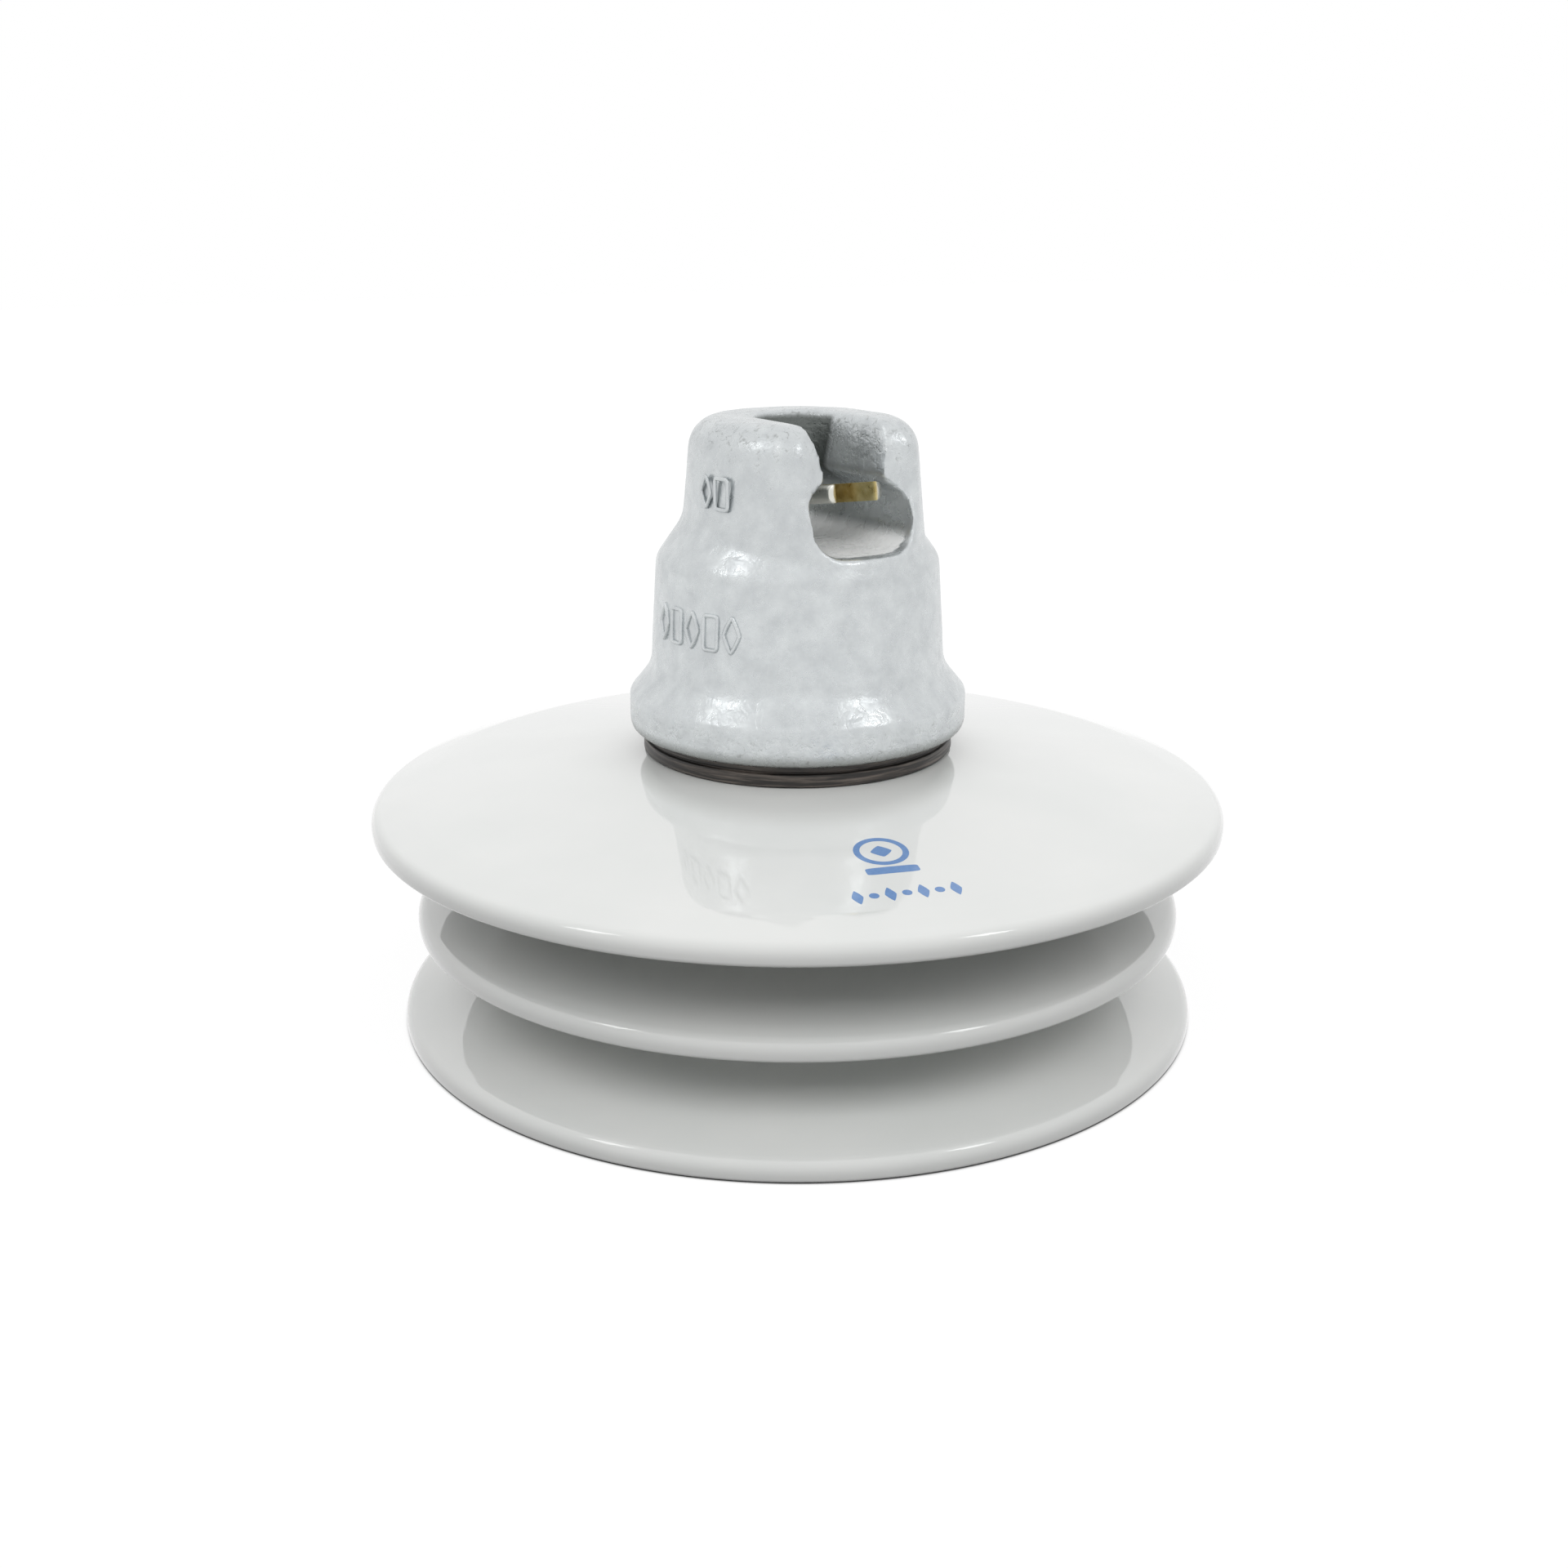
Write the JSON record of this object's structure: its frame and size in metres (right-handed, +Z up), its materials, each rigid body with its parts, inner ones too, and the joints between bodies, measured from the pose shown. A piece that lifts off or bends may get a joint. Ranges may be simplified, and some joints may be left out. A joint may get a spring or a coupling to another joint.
{
  "type": "cap and pin suspension insulator",
  "caption": "Cap and pin suspension insulator: plain porcelain sheds on one shell, an iron cap with a ball socket and split pin on top, and a steel pin with a ball end below.",
  "frame": {"origin": "centre of the circle that the lowest rim stands on", "axes": "+Z up along the axis of the shell, cap and pin; the socket opens towards -Y; +X is to the right for someone who looks into the socket"},
  "size_m": [0.33, 0.33, 0.2316],
  "materials": {
    "galvanised_iron": "hot-dip galvanised, satin",
    "brass": "drawn, bright",
    "glazed_porcelain": "gloss",
    "galvanised_steel": "hot-dip galvanised, satin",
    "painted_cement": "brushed bitumen paint, satin",
    "cement": "matt",
    "cork": "matt",
    "rubber": "matt"
  },
  "bodies": {
    "insulator": {"porcelain_shell": "glazed_porcelain", "cap": "galvanised_iron", "cap_cement": "painted_cement", "cap_cushion": "cork", "pin": "galvanised_steel", "pin_cement": "cement", "pin_cushion": "rubber"},
    "split_pin": {"split_pin": "brass"}
  },
  "joints": [
    {"name": "split_pin_slide", "type": "slide", "parent": "insulator", "child": "split_pin", "axis": [0, 0.989, -0.1478], "range_m": [0, 0.026]}
  ]
}
